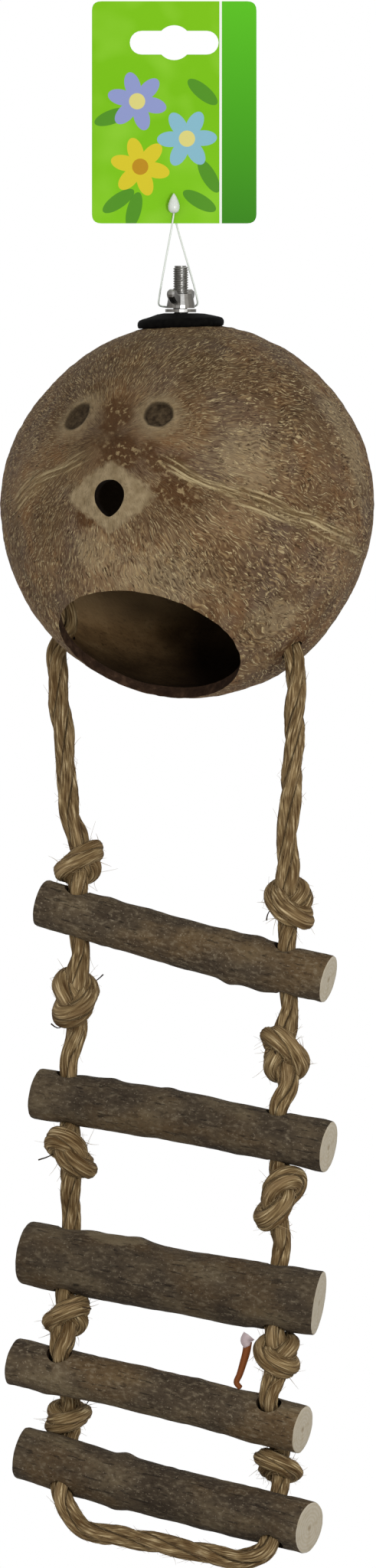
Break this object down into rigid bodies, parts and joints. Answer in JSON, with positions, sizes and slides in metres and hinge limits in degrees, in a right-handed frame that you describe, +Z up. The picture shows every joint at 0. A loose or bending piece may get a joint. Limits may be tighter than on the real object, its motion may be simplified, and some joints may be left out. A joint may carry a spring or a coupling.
{
  "type": "coconut bird house",
  "caption": "Hollow coconut bird house that clamps to a cage by a bolt and wing nut, with a round entrance, a rope ladder of branch rungs below and a card tag above.",
  "frame": {"origin": "on the bolt's axis, on the top face of the rubber washer, where the cage wires are clamped", "axes": "+Z up along the bolt, X along the ladder's rungs, -Y the front, which the entrance and the eyes face"},
  "size_m": [0.12, 0.12, 0.5027],
  "materials": {
    "coconut": "rough fibrous shell",
    "steel": "bright zinc plated",
    "rubber": "matte black",
    "rope": "hairy sisal",
    "bark": "natural bark",
    "card": "coated card",
    "nylon": "clear"
  },
  "bodies": {
    "house": {"coconut_shell": "coconut", "hanger_bolt": "steel", "inner_washer": "steel", "rubber_washer": "rubber", "inner_rope": "rope"},
    "clamp_washer": {"clamp_washer": "steel"},
    "wing_nut": {"wing_nut": "steel"},
    "tag_thread": {"tag_thread": "nylon"},
    "hang_tag": {"hang_tag": "card"},
    "ladder_top": {"left_rope_1": "rope", "right_rope_1": "rope", "left_knot_1": "rope", "right_knot_1": "rope", "left_rope_2": "rope", "right_rope_2": "rope", "left_knot_2": "rope", "right_knot_2": "rope"},
    "rung_1": {"rung_1": "bark"},
    "ladder_second": {"left_rope_3": "rope", "right_rope_3": "rope", "left_knot_3": "rope", "right_knot_3": "rope"},
    "rung_2": {"rung_2": "bark"},
    "ladder_third": {"left_rope_4": "rope", "right_rope_4": "rope", "left_knot_4": "rope", "right_knot_4": "rope"},
    "rung_3": {"rung_3": "bark"},
    "ladder_fourth": {"left_rope_5": "rope", "right_rope_5": "rope", "left_knot_5": "rope", "right_knot_5": "rope", "rung_4": "bark"},
    "ladder_last": {"rung_5": "bark", "bottom_loop": "rope"}
  },
  "joints": [
    {"name": "wing_nut_lift", "type": "slide", "parent": "house", "child": "clamp_washer", "axis": [0, 0, 1], "range_m": [0, 0.00481]},
    {"name": "wing_nut_turn", "type": "hinge", "parent": "clamp_washer", "child": "wing_nut", "pos_m": [0, 0, 0], "axis": [0, 0, 1], "range_deg": [0, 2160]},
    {"name": "tag_lean", "type": "hinge", "parent": "house", "child": "tag_thread", "pos_m": [0, 0.001, 0.003], "axis": [0.9397, 0.342, 0], "range_deg": [-40, 40], "deforming": ["tag_thread"]},
    {"name": "tag_flip", "type": "hinge", "parent": "tag_thread", "child": "hang_tag", "pos_m": [-0.00197, -0.00072, 0.0336], "axis": [0.9397, 0.342, 0], "range_deg": [-70, 70]},
    {"name": "ladder_swing", "type": "hinge", "parent": "house", "child": "ladder_top", "pos_m": [0, -0.00392, -0.1138], "axis": [0.9955, -0.0868, -0.0377], "range_deg": [-75, 75], "deforming": ["left_rope_1", "right_rope_1", "left_rope_2", "right_rope_2"]},
    {"name": "rung_1_slide", "type": "slide", "parent": "ladder_top", "child": "rung_1", "axis": [0, -0.1045, 0.9945], "range_m": [-0.0065, 0]},
    {"name": "fold_second", "type": "hinge", "parent": "ladder_top", "child": "ladder_second", "pos_m": [0.00045, -0.0073, -0.2448], "axis": [0.9781, 0, -0.2079], "range_deg": [-45, 45], "deforming": ["left_rope_3", "right_rope_3"]},
    {"name": "rung_2_slide", "type": "slide", "parent": "ladder_second", "child": "rung_2", "axis": [0, -0.0698, 0.9976], "range_m": [0, 0.0055]},
    {"name": "fold_third", "type": "hinge", "parent": "ladder_second", "child": "ladder_third", "pos_m": [-0.00005, -0.0073, -0.293], "axis": [0.9808, 0, -0.1948], "range_deg": [-45, 45], "deforming": ["left_rope_4", "right_rope_4"]},
    {"name": "rung_3_slide", "type": "slide", "parent": "ladder_third", "child": "rung_3", "axis": [0, 0.225, 0.9744], "range_m": [0, 0.005]},
    {"name": "fold_fourth", "type": "hinge", "parent": "ladder_third", "child": "ladder_fourth", "pos_m": [-0.00135, -0.012, -0.3379], "axis": [0.9798, 0, -0.2001], "range_deg": [-40, 25], "deforming": ["left_rope_5", "right_rope_5"]},
    {"name": "fold_last", "type": "hinge", "parent": "ladder_fourth", "child": "ladder_last", "pos_m": [-0.00085, -0.003, -0.3692], "axis": [0.9756, 0, -0.2197], "range_deg": [-10, 40], "deforming": ["bottom_loop"]}
  ],
  "couplings": [
    {"joint": "wing_nut_lift", "follows": "wing_nut_turn", "m_per_rad": 0.00012732}
  ]
}
